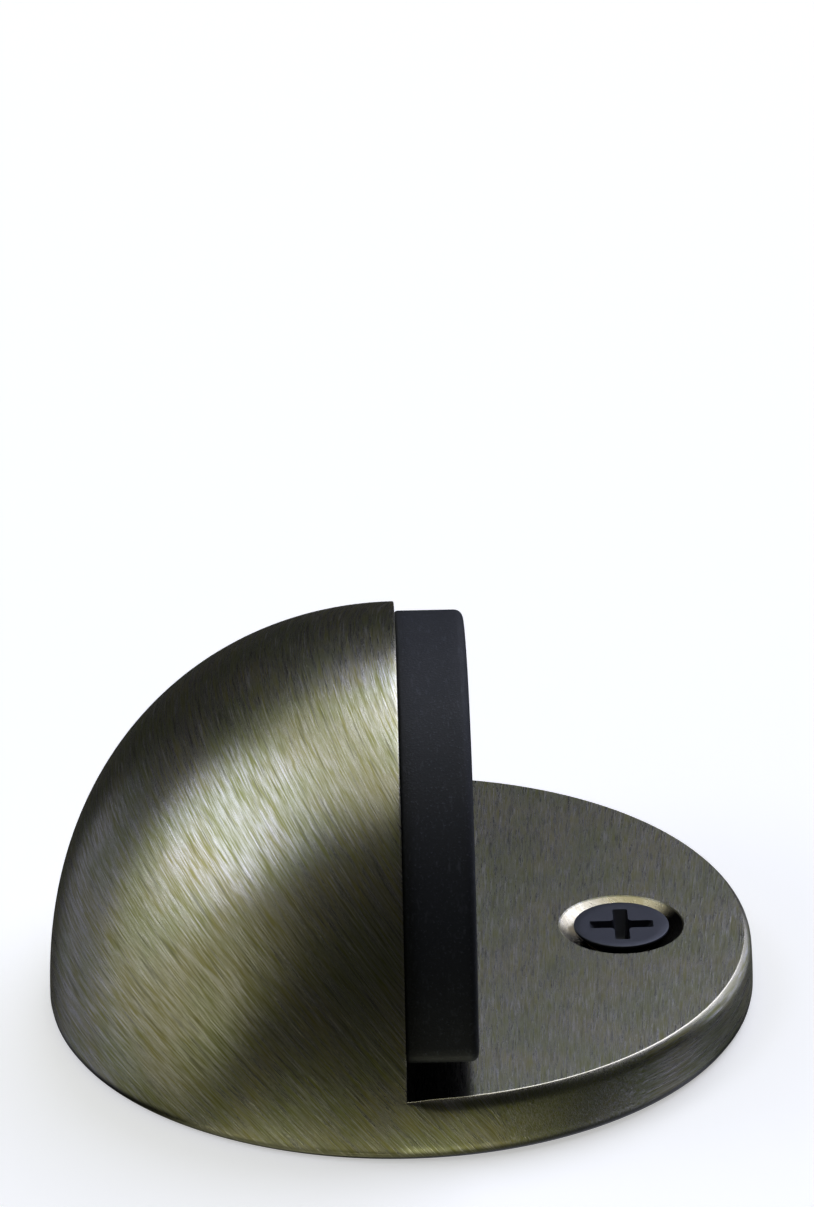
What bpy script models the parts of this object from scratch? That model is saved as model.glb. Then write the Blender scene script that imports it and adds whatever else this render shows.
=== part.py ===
"""Half-moon floor door stop: a hollow cast body with a rubber buffer, fixed to the floor by one screw.

Frame: Z = 0 is the floor, the origin is the centre of the round base, +X points from the upright face
along the toe, towards the door. The body is symmetric about the plane Y = 0.
"""

import math

import bmesh
import bpy

MM = 0.001

# Cast body: a domed solid of revolution whose front half is cut down to a flat toe
BASE_RADIUS = 22.5 * MM
DOME_HEIGHT = 24.5 * MM
DOME_POWER = 2.17
TOE_THICKNESS = 4.0 * MM
TOE_EDGE_RADIUS = 0.77 * MM
TOE_EDGE_INSET = 0.75 * MM
FOOT_EDGE_RADIUS = 0.6 * MM
WALL = 2.6 * MM

# Screw hole in the toe
HOLE_X = 14.1 * MM
HOLE_RADIUS = 2.3 * MM
SINK_RADIUS = 3.94 * MM
SINK_DEPTH = 1.05 * MM

# Locating pin and the boss that holds it
PIN_X = -11.0 * MM
PIN_RADIUS = 1.5 * MM
PIN_TOP = 8.0 * MM
PIN_BOTTOM = -6.5 * MM
PIN_CHAMFER = 0.3 * MM
PIN_HOLE_RADIUS = 1.6 * MM
PIN_HOLE_TOP = 8.3 * MM
BOSS_RADIUS = 3.5 * MM
BOSS_FOOT = 0.3 * MM
RIB_THICKNESS = 2.0 * MM
RIB_FOOT = 2.0 * MM

# Rubber buffer: a D-shaped pad with two snap-in lugs
PAD_BACK_X = 0.2 * MM
PAD_FRONT_X = 4.4 * MM
PAD_INSET = 0.6 * MM
PAD_BOTTOM = 5.8 * MM
PAD_EDGE_RADIUS = 0.5 * MM
LUG_Y = 8.0 * MM
LUG_Z = 12.0 * MM
LUG_RADIUS = 2.4 * MM
LUG_HOLE_RADIUS = 2.6 * MM
BARB_RADIUS = 3.2 * MM
BARB_TIP_RADIUS = 1.6 * MM
BARB_LENGTH = 2.4 * MM
LUG_GAP = 0.2 * MM

# Countersunk wood screw with a cross recess
SCREW_LENGTH = 25.0 * MM
SCREW_HEAD_RADIUS = 3.05 * MM
SCREW_HEAD_RIM = 0.15 * MM
SCREW_CORE_RADIUS = 1.15 * MM
SCREW_NECK_RADIUS = 1.3 * MM
THREAD_RADIUS = 1.75 * MM
THREAD_PITCH = 1.6 * MM
THREAD_WIDTH = 0.8 * MM
THREAD_ROOT_DEPTH = 0.15 * MM
THREAD_TURNS = 10
THREAD_TOP = -2.2 * MM
TIP_LENGTH = 3.3 * MM
TIP_RADIUS = 0.1 * MM
RECESS_SPAN = 4.1 * MM
RECESS_WIDTH = 0.95 * MM
RECESS_DEPTH = 1.7 * MM
RECESS_TAPER = 0.4

# Nylon floor plug
PLUG_RADIUS = 3.0 * MM
PLUG_TOP = -0.3 * MM
PLUG_BOTTOM = -24.5 * MM
PLUG_COLLAR = 1.2 * MM
PLUG_BORE_RADIUS = 1.95 * MM
PLUG_BORE_BOTTOM = -22.0 * MM
PLUG_TEETH = 6
PLUG_TOOTH_DEPTH = 0.45 * MM
PLUG_TOOTH_SHARE = 0.9
PLUG_TEETH_TOP = -4.0 * MM
PLUG_TEETH_BOTTOM = -20.0 * MM
PLUG_TIP_RADIUS = 1.8 * MM
SLIT_WIDTH = 0.7 * MM
SLIT_TOP = -5.0 * MM
SLIT_BOTTOM = -20.5 * MM

# Fineness of round shapes, and how far a cutter passes the face it cuts
DOME_SEGMENTS = 96
DOME_ROWS = 20
CAVITY_ROWS = 12
EDGE_STEPS = 4
HOLE_SEGMENTS = 40
SMALL_SEGMENTS = 24
THREAD_SEGMENTS = 18
PAD_EDGE_RESOLUTION = 2
CUT_OVERRUN = 1.0 * MM
MERGE_DISTANCE = 0.001 * MM
SMOOTH_ANGLE = math.radians(35)


def empty_scene():
    for old in list(bpy.data.objects):
        bpy.data.objects.remove(old, do_unlink=True)


def new_collection(name):
    collection = bpy.data.collections.new(name)
    bpy.context.scene.collection.children.link(collection)
    return collection


def new_material(name, colour, roughness, metallic):
    material = bpy.data.materials.new(name)
    material.use_nodes = True
    shader = material.node_tree.nodes["Principled BSDF"]
    shader.inputs["Base Color"].default_value = (*colour, 1.0)
    shader.inputs["Roughness"].default_value = roughness
    shader.inputs["Metallic"].default_value = metallic
    return material


def new_object(name, mesh, collection):
    made = bpy.data.objects.new(name, mesh)
    collection.objects.link(made)
    return made


def as_mesh(piece):
    """Turns an object with modifiers, or a curve, into a plain welded mesh object of the same name."""
    bpy.context.view_layer.update()
    evaluated = piece.evaluated_get(bpy.context.evaluated_depsgraph_get())
    mesh = bpy.data.meshes.new_from_object(evaluated)
    name = piece.name
    collection = piece.users_collection[0]
    place = piece.matrix_world.copy()
    bpy.data.objects.remove(piece, do_unlink=True)
    build = bmesh.new()
    build.from_mesh(mesh)
    bmesh.ops.remove_doubles(build, verts=build.verts, dist=MERGE_DISTANCE)
    build.to_mesh(mesh)
    build.free()
    made = new_object(name, mesh, collection)
    made.matrix_world = place
    return made


def turned(name, profile, segments, collection):
    """A solid of revolution about its own Z from (radius, height) points, top to bottom."""
    mesh = bpy.data.meshes.new(name)
    build = bmesh.new()
    points = [build.verts.new((radius, 0.0, height)) for radius, height in profile]
    for upper, lower in zip(points, points[1:]):
        build.edges.new((upper, lower))
    build.to_mesh(mesh)
    build.free()
    made = new_object(name, mesh, collection)
    screw = made.modifiers.new("turn", "SCREW")
    screw.axis = "Z"
    screw.angle = math.tau
    screw.steps = segments
    screw.render_steps = segments
    screw.use_merge_vertices = True
    screw.merge_threshold = MERGE_DISTANCE
    return made


def half(piece, normal_x, plane_x):
    """Keeps the side of the plane X = plane_x that normal_x points away from, and closes the cut."""
    piece = as_mesh(piece)
    build = bmesh.new()
    build.from_mesh(piece.data)
    cut = bmesh.ops.bisect_plane(
        build,
        geom=build.verts[:] + build.edges[:] + build.faces[:],
        dist=MERGE_DISTANCE,
        plane_co=(plane_x, 0.0, 0.0),
        plane_no=(normal_x, 0.0, 0.0),
        clear_outer=True,
    )
    rim = [item for item in cut["geom_cut"] if isinstance(item, bmesh.types.BMEdge)]
    bmesh.ops.contextual_create(build, geom=rim)
    bmesh.ops.recalc_face_normals(build, faces=build.faces)
    build.to_mesh(piece.data)
    build.free()
    return piece


def box(name, low, high, collection):
    mesh = bpy.data.meshes.new(name)
    build = bmesh.new()
    bmesh.ops.create_cube(build, size=1.0)
    for vertex in build.verts:
        for axis in range(3):
            vertex.co[axis] = high[axis] if vertex.co[axis] > 0 else low[axis]
    build.to_mesh(mesh)
    build.free()
    return new_object(name, mesh, collection)


def boolean(piece, other, operation):
    modifier = piece.modifiers.new(operation.lower(), "BOOLEAN")
    modifier.operation = operation
    modifier.solver = "EXACT"
    modifier.object = other


def hide_cutter(cutter):
    cutter.hide_render = True
    cutter.display_type = "WIRE"


def finish(piece, material):
    piece.data.materials.clear()
    piece.data.materials.append(material)
    piece.data.shade_smooth()
    piece.data.set_sharp_from_angle(angle=SMOOTH_ANGLE)


def arc(centre_radius, centre_height, radius, start, end, steps):
    """(radius, height) points along an arc, with its angles measured up from the outward direction."""
    angles = [start + (end - start) * step / steps for step in range(steps + 1)]
    return [
        (centre_radius + radius * math.cos(a), centre_height + radius * math.sin(a))
        for a in angles
    ]


def dome_point(angle, inset=0.0):
    """A point of the dome's superellipse, or of one that is smaller all round by inset."""
    radius = (BASE_RADIUS - inset) * max(0.0, math.cos(angle)) ** (2 / DOME_POWER)
    height = (DOME_HEIGHT - inset) * max(0.0, math.sin(angle)) ** (2 / DOME_POWER)
    return radius, height


def angle_at_height(height, inset=0.0):
    return math.asin((height / (DOME_HEIGHT - inset)) ** (DOME_POWER / 2))


def dome_curve(lowest, rows, inset=0.0):
    """The dome's side from its top down to the height given."""
    low = angle_at_height(lowest, inset)
    angles = [math.pi / 2 + (low - math.pi / 2) * row / rows for row in range(rows + 1)]
    return [(0.0, DOME_HEIGHT - inset)] + [dome_point(a, inset) for a in angles[1:]]


def dome_profile():
    foot_radius = dome_point(angle_at_height(FOOT_EDGE_RADIUS))[0] - FOOT_EDGE_RADIUS
    foot = arc(foot_radius, FOOT_EDGE_RADIUS, FOOT_EDGE_RADIUS, 0.0, -math.pi / 2, EDGE_STEPS)
    return dome_curve(FOOT_EDGE_RADIUS, DOME_ROWS) + foot[1:] + [(0.0, 0.0)]


def toe_clearance(cutters):
    """The space above the toe: the front half of a turned shape whose underside is the toe's top."""
    centre_height = TOE_THICKNESS - TOE_EDGE_RADIUS
    centre_radius = dome_point(angle_at_height(centre_height))[0] - TOE_EDGE_INSET
    outer = BASE_RADIUS + CUT_OVERRUN
    top = DOME_HEIGHT + CUT_OVERRUN
    edge = arc(centre_radius, centre_height, TOE_EDGE_RADIUS, 0.0, math.pi / 2, EDGE_STEPS)
    profile = [(0.0, top), (outer, top), (outer, centre_height)] + edge + [(0.0, TOE_THICKNESS)]
    return half(turned("toe_clearance", profile, DOME_SEGMENTS, cutters), -1.0, 0.0)


def boss_core(cutters):
    profile = [
        (0.0, DOME_HEIGHT),
        (BOSS_RADIUS, DOME_HEIGHT),
        (BOSS_RADIUS, BOSS_FOOT),
        (0.0, BOSS_FOOT),
    ]
    core = turned("boss_core", profile, SMALL_SEGMENTS, cutters)
    core.location.x = PIN_X
    return core


def cavity(cutters):
    """The hollow under the dome, without the boss and the rib that stand in it."""
    side = dome_curve(FOOT_EDGE_RADIUS, CAVITY_ROWS, WALL)
    profile = side + [(side[-1][0], -CUT_OVERRUN), (0.0, -CUT_OVERRUN)]
    hollow = half(turned("cavity", profile, DOME_SEGMENTS, cutters), 1.0, -WALL)
    rib = box(
        "rib_core",
        (-BASE_RADIUS, -RIB_THICKNESS / 2, RIB_FOOT),
        (0.0, RIB_THICKNESS / 2, DOME_HEIGHT),
        cutters,
    )
    boolean(hollow, boss_core(cutters), "DIFFERENCE")
    boolean(hollow, rib, "DIFFERENCE")
    return hollow


def screw_hole(cutters):
    top = TOE_THICKNESS + CUT_OVERRUN
    sink_bottom = TOE_THICKNESS - SINK_DEPTH
    profile = [
        (0.0, top),
        (SINK_RADIUS, top),
        (SINK_RADIUS, TOE_THICKNESS),
        (HOLE_RADIUS, sink_bottom),
        (HOLE_RADIUS, -CUT_OVERRUN),
        (0.0, -CUT_OVERRUN),
    ]
    hole = turned("screw_hole", profile, HOLE_SEGMENTS, cutters)
    hole.location.x = HOLE_X
    return hole


def pin_hole(cutters):
    profile = [
        (0.0, PIN_HOLE_TOP),
        (PIN_HOLE_RADIUS, PIN_HOLE_TOP),
        (PIN_HOLE_RADIUS, -CUT_OVERRUN),
        (0.0, -CUT_OVERRUN),
    ]
    hole = turned("pin_hole", profile, SMALL_SEGMENTS, cutters)
    hole.rotation_euler.z = math.pi / SMALL_SEGMENTS
    hole.location.x = PIN_X
    return hole


def lug_hole(side, cutters):
    """A round hole through the upright wall, with its turning axis laid along X."""
    profile = [
        (0.0, CUT_OVERRUN),
        (LUG_HOLE_RADIUS, CUT_OVERRUN),
        (LUG_HOLE_RADIUS, -WALL - CUT_OVERRUN),
        (0.0, -WALL - CUT_OVERRUN),
    ]
    hole = turned(f"lug_hole_{side}", profile, SMALL_SEGMENTS, cutters)
    hole.rotation_euler.y = math.pi / 2
    hole.location = (0.0, side * LUG_Y, LUG_Z)
    return hole


def stop_body(parts, cutters, material):
    body = turned("stop_body", dome_profile(), DOME_SEGMENTS, parts)
    body.rotation_euler.z = math.pi / DOME_SEGMENTS
    holes = [toe_clearance(cutters), cavity(cutters), screw_hole(cutters), pin_hole(cutters)]
    holes += [lug_hole(side, cutters) for side in (-1, 1)]
    for hole in holes:
        boolean(body, hole, "DIFFERENCE")
    finish(body, material)


def pad_outline():
    """The (y, z) outline of the pad: the dome's outline set inwards, closed by a straight foot."""
    low = angle_at_height(PAD_BOTTOM, PAD_INSET)
    angles = [low + (math.pi / 2 - low) * step / DOME_ROWS for step in range(DOME_ROWS)]
    right = [dome_point(a, PAD_INSET) for a in angles]
    top = [(0.0, DOME_HEIGHT - PAD_INSET)]
    left = [(-y, z) for y, z in reversed(right)]
    return right + top + left


def pad(parts):
    """The flat pad as an extruded outline with round edges, turned so that its thickness runs along X."""
    curve = bpy.data.curves.new("rubber_buffer", "CURVE")
    curve.dimensions = "2D"
    curve.fill_mode = "BOTH"
    curve.extrude = (PAD_FRONT_X - PAD_BACK_X) / 2 - PAD_EDGE_RADIUS
    curve.bevel_depth = PAD_EDGE_RADIUS
    curve.bevel_resolution = PAD_EDGE_RESOLUTION
    curve.offset = -PAD_EDGE_RADIUS
    outline = pad_outline()
    spline = curve.splines.new("POLY")
    spline.points.add(len(outline) - 1)
    for point, (y, z) in zip(spline.points, outline):
        point.co = (y, z, 0.0, 1.0)
    spline.use_cyclic_u = True
    made = new_object("rubber_buffer", curve, parts)
    made.rotation_euler = (math.pi / 2, 0.0, math.pi / 2)
    made.location.x = (PAD_FRONT_X + PAD_BACK_X) / 2
    return as_mesh(made)


def lug(side, cutters):
    """A moulded lug with a barb behind the wall, its turning axis laid along X."""
    shoulder = -WALL - LUG_GAP
    profile = [
        (0.0, PAD_FRONT_X / 2),
        (LUG_RADIUS, PAD_FRONT_X / 2),
        (LUG_RADIUS, shoulder),
        (BARB_RADIUS, shoulder),
        (BARB_TIP_RADIUS, shoulder - BARB_LENGTH),
        (0.0, shoulder - BARB_LENGTH),
    ]
    made = turned(f"lug_{side}", profile, SMALL_SEGMENTS, cutters)
    made.rotation_euler.y = math.pi / 2
    made.location = (0.0, side * LUG_Y, LUG_Z)
    return made


def rubber_buffer(parts, cutters, material):
    buffer = pad(parts)
    for side in (-1, 1):
        boolean(buffer, lug(side, cutters), "UNION")
    finish(buffer, material)


def screw_shank():
    """The screw's turned shape, with its head's top at height 0."""
    cone_foot = -SCREW_HEAD_RIM - (SCREW_HEAD_RADIUS - SCREW_NECK_RADIUS)
    thread_start = THREAD_TOP - TOE_THICKNESS
    return [
        (0.0, 0.0),
        (SCREW_HEAD_RADIUS, 0.0),
        (SCREW_HEAD_RADIUS, -SCREW_HEAD_RIM),
        (SCREW_NECK_RADIUS, cone_foot),
        (SCREW_NECK_RADIUS, thread_start),
        (SCREW_CORE_RADIUS, thread_start - THREAD_WIDTH / 2),
        (SCREW_CORE_RADIUS, -SCREW_LENGTH + TIP_LENGTH),
        (TIP_RADIUS, -SCREW_LENGTH),
        (0.0, -SCREW_LENGTH),
    ]


def screw_thread(cutters):
    """A ridge of triangular section wound down the core, closed at both ends."""
    mesh = bpy.data.meshes.new("screw_thread")
    build = bmesh.new()
    root = SCREW_CORE_RADIUS - THREAD_ROOT_DEPTH
    section = [(root, THREAD_WIDTH / 2), (THREAD_RADIUS, 0.0), (root, -THREAD_WIDTH / 2)]
    points = [build.verts.new((radius, 0.0, height)) for radius, height in section]
    for index, point in enumerate(points):
        build.edges.new((point, points[(index + 1) % len(points)]))
    build.to_mesh(mesh)
    build.free()
    thread = new_object("screw_thread", mesh, cutters)
    winding = thread.modifiers.new("winding", "SCREW")
    winding.axis = "Z"
    winding.angle = math.tau
    winding.screw_offset = -THREAD_PITCH
    winding.iterations = THREAD_TURNS
    winding.steps = THREAD_SEGMENTS
    winding.render_steps = THREAD_SEGMENTS
    thread = as_mesh(thread)
    build = bmesh.new()
    build.from_mesh(thread.data)
    bmesh.ops.holes_fill(build, edges=build.edges, sides=len(section))
    bmesh.ops.recalc_face_normals(build, faces=build.faces)
    build.to_mesh(thread.data)
    build.free()
    thread.location = (HOLE_X, 0.0, THREAD_TOP - THREAD_WIDTH)
    return thread


def recess_arm(turn, cutters):
    """One bar of the cross recess: a wedge that narrows downwards."""
    mesh = bpy.data.meshes.new(f"recess_arm_{turn}")
    build = bmesh.new()
    bmesh.ops.create_cube(build, size=1.0)
    widening = 1 + (1 - RECESS_TAPER) * CUT_OVERRUN / RECESS_DEPTH
    for vertex in build.verts:
        above = vertex.co.z > 0
        share = widening if above else RECESS_TAPER
        length = math.copysign(RECESS_SPAN / 2 * share, vertex.co.x)
        width = math.copysign(RECESS_WIDTH / 2 * share, vertex.co.y)
        vertex.co = (length, width, CUT_OVERRUN if above else -RECESS_DEPTH)
    build.to_mesh(mesh)
    build.free()
    arm = new_object(f"recess_arm_{turn}", mesh, cutters)
    arm.rotation_euler.z = turn * math.pi / 2
    arm.location = (HOLE_X, 0.0, TOE_THICKNESS)
    return arm


def fixing_screw(parts, cutters, material):
    screw = turned("fixing_screw", screw_shank(), HOLE_SEGMENTS, parts)
    screw.location = (HOLE_X, 0.0, TOE_THICKNESS)
    boolean(screw, screw_thread(cutters), "UNION")
    for turn in (0, 1):
        boolean(screw, recess_arm(turn, cutters), "DIFFERENCE")
    finish(screw, material)


def plug_profile():
    """The plug's outside: a collar, a grooved stretch of saw teeth and a tapered tip."""
    tooth_pitch = (PLUG_TEETH_TOP - PLUG_TEETH_BOTTOM) / PLUG_TEETH
    tooth_length = tooth_pitch * PLUG_TOOTH_SHARE
    root = PLUG_RADIUS - PLUG_TOOTH_DEPTH
    collar_foot = PLUG_TOP - PLUG_COLLAR
    outside = [
        (PLUG_RADIUS, PLUG_TOP),
        (PLUG_RADIUS, collar_foot),
        (root, collar_foot - PLUG_TOOTH_DEPTH),
    ]
    for tooth in range(PLUG_TEETH):
        crest = PLUG_TEETH_TOP - tooth * tooth_pitch
        outside += [(PLUG_RADIUS, crest), (root, crest - tooth_length)]
    tip = [(root, PLUG_TEETH_BOTTOM), (PLUG_TIP_RADIUS, PLUG_BOTTOM), (0.0, PLUG_BOTTOM)]
    return outside + tip


def plug_bore(cutters):
    top = PLUG_TOP + CUT_OVERRUN
    profile = [
        (0.0, top),
        (PLUG_BORE_RADIUS, top),
        (PLUG_BORE_RADIUS, PLUG_BORE_BOTTOM),
        (0.0, PLUG_BORE_BOTTOM),
    ]
    hole = turned("plug_bore", profile, SMALL_SEGMENTS, cutters)
    hole.location.x = HOLE_X
    return hole


def floor_plug(parts, cutters, material):
    plug = turned("floor_plug", [(0.0, PLUG_TOP)] + plug_profile(), SMALL_SEGMENTS, parts)
    plug.location.x = HOLE_X
    reach = PLUG_RADIUS + CUT_OVERRUN
    boolean(plug, plug_bore(cutters), "DIFFERENCE")
    for name, half_x, half_y in (
        ("slit_along", reach, SLIT_WIDTH / 2),
        ("slit_across", SLIT_WIDTH / 2, reach),
    ):
        low = (HOLE_X - half_x, -half_y, SLIT_BOTTOM)
        high = (HOLE_X + half_x, half_y, SLIT_TOP)
        boolean(plug, box(name, low, high, cutters), "DIFFERENCE")
    finish(plug, material)


def locating_pin(parts, material):
    shoulder = PIN_RADIUS - PIN_CHAMFER
    profile = [
        (0.0, PIN_TOP),
        (shoulder, PIN_TOP),
        (PIN_RADIUS, PIN_TOP - PIN_CHAMFER),
        (PIN_RADIUS, PIN_BOTTOM + PIN_CHAMFER),
        (shoulder, PIN_BOTTOM),
        (0.0, PIN_BOTTOM),
    ]
    pin = turned("locating_pin", profile, SMALL_SEGMENTS, parts)
    pin.location.x = PIN_X
    finish(pin, material)


def main():
    empty_scene()
    parts = new_collection("half_moon_door_stop")
    cutters = new_collection("cutters")
    brass = new_material("antique_brass", (0.30, 0.27, 0.19), 0.38, 1.0)
    rubber = new_material("black_rubber", (0.018, 0.019, 0.024), 0.75, 0.0)
    black_steel = new_material("black_steel", (0.035, 0.038, 0.05), 0.42, 0.6)
    bright_steel = new_material("bright_steel", (0.62, 0.62, 0.63), 0.3, 1.0)
    nylon = new_material("grey_nylon", (0.42, 0.42, 0.43), 0.6, 0.0)
    stop_body(parts, cutters, brass)
    rubber_buffer(parts, cutters, rubber)
    fixing_screw(parts, cutters, black_steel)
    floor_plug(parts, cutters, nylon)
    locating_pin(parts, bright_steel)
    for cutter in cutters.objects:
        hide_cutter(cutter)


main()
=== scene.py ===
"""Looks of the half-moon floor door stop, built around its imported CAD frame.

Frame: Z = 0 is the floor, the origin is the centre of the round base, and +X points from the upright
face along the toe. Objects are in metres. Shapes are worked out in millimetres and scaled by MM.
"""

import math

import bmesh
import bpy
from mathutils import Matrix, Vector

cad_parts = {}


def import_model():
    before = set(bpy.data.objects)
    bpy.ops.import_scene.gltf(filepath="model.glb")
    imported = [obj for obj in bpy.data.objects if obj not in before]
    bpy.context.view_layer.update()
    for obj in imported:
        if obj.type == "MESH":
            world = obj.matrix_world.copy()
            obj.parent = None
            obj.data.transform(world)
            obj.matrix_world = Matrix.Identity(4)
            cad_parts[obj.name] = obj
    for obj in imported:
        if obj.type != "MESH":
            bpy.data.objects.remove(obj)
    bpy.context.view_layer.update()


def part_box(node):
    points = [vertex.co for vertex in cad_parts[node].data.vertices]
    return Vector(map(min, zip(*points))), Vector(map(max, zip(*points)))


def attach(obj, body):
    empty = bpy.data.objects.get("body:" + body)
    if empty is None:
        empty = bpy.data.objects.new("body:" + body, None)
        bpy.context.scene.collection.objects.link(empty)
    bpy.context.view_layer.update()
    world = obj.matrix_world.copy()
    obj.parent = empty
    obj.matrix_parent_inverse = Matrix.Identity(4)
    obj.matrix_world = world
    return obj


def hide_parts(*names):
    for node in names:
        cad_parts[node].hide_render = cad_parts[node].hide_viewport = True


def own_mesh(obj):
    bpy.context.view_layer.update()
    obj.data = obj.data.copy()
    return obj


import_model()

MM = 0.001


def box_mm(node):
    low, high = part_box(node)
    return low / MM, high / MM


BODY_HIGH = box_mm("stop_body")[1]
PAD_LOW, PAD_HIGH = box_mm("rubber_buffer")
SCREW_LOW, SCREW_HIGH = box_mm("fixing_screw")
PLUG_LOW, PLUG_HIGH = box_mm("floor_plug")
PIN_LOW, PIN_HIGH = box_mm("locating_pin")

# Cast body, in millimetres
BASE_RADIUS = BODY_HIGH.y
DOME_HEIGHT = BODY_HIGH.z
DOME_POWER = 2.17
FOOT_EDGE = 0.6
WALL = 2.6
ARCH_EDGE = 0.1
TOE_TOP = SCREW_HIGH.z
RIDGE_RADIUS = 21.95
RIDGE_CORNER_OUTSET = 0.28
RIDGE_CORNER_LENGTH = 1.2
RIDGE_ANGLE = math.radians(50)
RIDGE_EDGE = 0.12
RIDGE_GUESS = 0.8
ARCH_STEPS = (-0.1, 0.2)
CORNER_STEPS = (0.15, 0.4)
RIB_THICKNESS = 2.0
RIB_FOOT = 2.0
BOSS_RADIUS = 3.5
BOSS_FOOT = 0.3

# Screw hole, locating pin hole and lug holes
HOLE_X = (SCREW_LOW.x + SCREW_HIGH.x) / 2
HOLE_RADIUS = 2.3
SINK_RADIUS = 3.94
SINK_DEPTH = 1.05
MOUTH_EDGE = 0.1
PIN_X = (PIN_LOW.x + PIN_HIGH.x) / 2
PIN_HOLE_RADIUS = 1.6
PIN_HOLE_TOP = 8.3
LUG_HOLE_RADIUS = 2.6

# Rubber buffer
PAD_BACK = 0.02
PAD_FRONT = PAD_HIGH.x
PAD_FOOT = PAD_LOW.z
PAD_INSET = DOME_HEIGHT - PAD_HIGH.z
PAD_BACK_EDGE = 0.2
PAD_FRONT_EDGE = 0.55
PAD_CORNER = 0.8
LUG_Y = 8.0
LUG_Z = 12.0
LUG_RADIUS = 2.4
LUG_ROOT = 0.5
BARB_RADIUS = 3.2
BARB_TIP_RADIUS = 1.6
BARB_LENGTH = 2.4
BARB_GAP = 0.2
LUG_ROUND = 0.25

# Countersunk wood screw
HEAD_RADIUS = (SCREW_HIGH.x - SCREW_LOW.x) / 2
HEAD_RIM = 0.15
HEAD_EDGE = 0.08
NECK_RADIUS = 1.3
CORE_RADIUS = 1.15
THREAD_RADIUS = 1.75
THREAD_PITCH = 1.6
THREAD_HALF_WIDTH = 0.4
THREAD_START = -2.2
THREAD_END_GAP = 0.3
THREAD_TIP_SHARE = 0.25
TIP_LENGTH = 3.3
TIP_POWER = 0.7
TIP_RADIUS = 0.05
RECESS_REACH = 2.05
RECESS_HALF_WIDTH = 0.475
RECESS_FLOOR_REACH = 0.95
RECESS_FLOOR_HALF_WIDTH = 0.33
RECESS_DEPTH = 1.7
RECESS_FILLET = 0.28
RECESS_TIP_ROUND = 0.32
RECESS_OVERRUN = 0.3
RECESS_FLARE = (0.2, 0.03)
RECESS_WALL_SHARE = 0.8
RECESS_POINT_SHARES = (0.3, 0.4)

# Floor plug and locating pin
PLUG_RADIUS = (PLUG_HIGH.y - PLUG_LOW.y) / 2
PLUG_COLLAR = 1.2
PLUG_BORE_RADIUS = 1.95
PLUG_BORE_FLOOR = -22.0
PLUG_TEETH = 6
PLUG_TOOTH_DEPTH = 0.45
PLUG_TOOTH_SHARE = 0.9
PLUG_TEETH_TOP = -4.0
PLUG_TEETH_FOOT = -20.0
PLUG_TIP_RADIUS = 1.8
PLUG_ROUND = 0.12
SLIT_WIDTH = 0.7
SLIT_TOP = -5.0
SLIT_FOOT = -20.5
PIN_CHAMFER = 0.3

# Fineness of the meshes
ARCH_COLUMNS = 150
DOME_ROWS = 72
WALL_ROWS = 6
TOE_COLUMNS = 144
EDGE_STEPS = 6
SMALL_STEPS = 4
PAD_STEPS = 72
HOLLOW_ROWS = 32
HOLE_SEGMENTS = 128
LUG_SEGMENTS = 48
SCREW_SEGMENTS = 96
SCREW_ROW = 0.08
TIP_STEPS = 4
FILLET_STEPS = 5
DOME_TRIES = 8
RIDGE_TRIES = 20
OVERRUN = 1.0

# Small turns that keep the vertices of two round shapes in a Boolean apart, in radians
BOSS_TURN = 0.01
PIN_HOLE_TURN = 0.02
PLUG_TURN = 0.013
BORE_TURN = 0.031
SMOOTH_ANGLE = math.radians(32)

# Brushing on the dome: lines where a gently curved family of slanting surfaces meets it
BRUSH_NORMAL = (0.76, 0.03, 0.65)
BRUSH_BEND_XX = 0.55
BRUSH_BEND_XZ = 0.16

# Side of the countersink that gets a painted highlight; the rest of it gets painted shade
SINK_LIT_SIDE = (-0.30, 0.95, 0.0)

# Camera, fitted to the photo's outline and rounded: places in metres, lens in millimetres
CAMERA_TARGET = (0.00075, 0.0, 0.02676)
CAMERA_AZIMUTH = math.radians(-0.68)
CAMERA_ELEVATION = math.radians(24.19)
CAMERA_ROLL = math.radians(-0.94)
CAMERA_DISTANCE = 0.3175
CAMERA_LENS = 152.7
CAMERA_CLIP = 0.01

# Studio, in metres and as radiance
LIGHT_DISTANCE = 3.0
FLOOR_RADIUS = 0.9
FLOOR_DROP = 0.00002
FLOOR_COLOUR = 0.80
FLOOR_GLOW = 0.46
BACKDROP_GLOW = 0.95
WORLD_GLOW = 0.02
COOL = (0.9, 0.95, 1.2)
WARM = (1.1, 1.1, 0.8)


# ---------------------------------------------------------------- meshes


def new_piece(name, mesh):
    piece = bpy.data.objects.new(name, mesh)
    bpy.context.scene.collection.objects.link(piece)
    return piece


def finish_mesh(build, name):
    """Scales a mesh made in millimetres to metres and turns it into an object."""
    bmesh.ops.remove_doubles(build, verts=build.verts, dist=0.0005)
    bmesh.ops.recalc_face_normals(build, faces=build.faces)
    bmesh.ops.scale(build, vec=(MM, MM, MM), verts=build.verts)
    mesh = bpy.data.meshes.new(name)
    build.to_mesh(mesh)
    build.free()
    return new_piece(name, mesh)


def skin(build, rows):
    """Quads between neighbouring rows of vertices, and triangles where two vertices are the same."""
    for upper, lower in zip(rows, rows[1:]):
        for index in range(len(upper) - 1):
            corners = [upper[index], upper[index + 1], lower[index + 1], lower[index]]
            corners = list(dict.fromkeys(corners))
            if len(corners) > 2:
                build.faces.new(corners)


def shade(piece):
    piece.data.shade_smooth()
    piece.data.set_sharp_from_angle(angle=SMOOTH_ANGLE)
    weighted = piece.modifiers.new("weighted_normals", "WEIGHTED_NORMAL")
    weighted.keep_sharp = True


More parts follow.
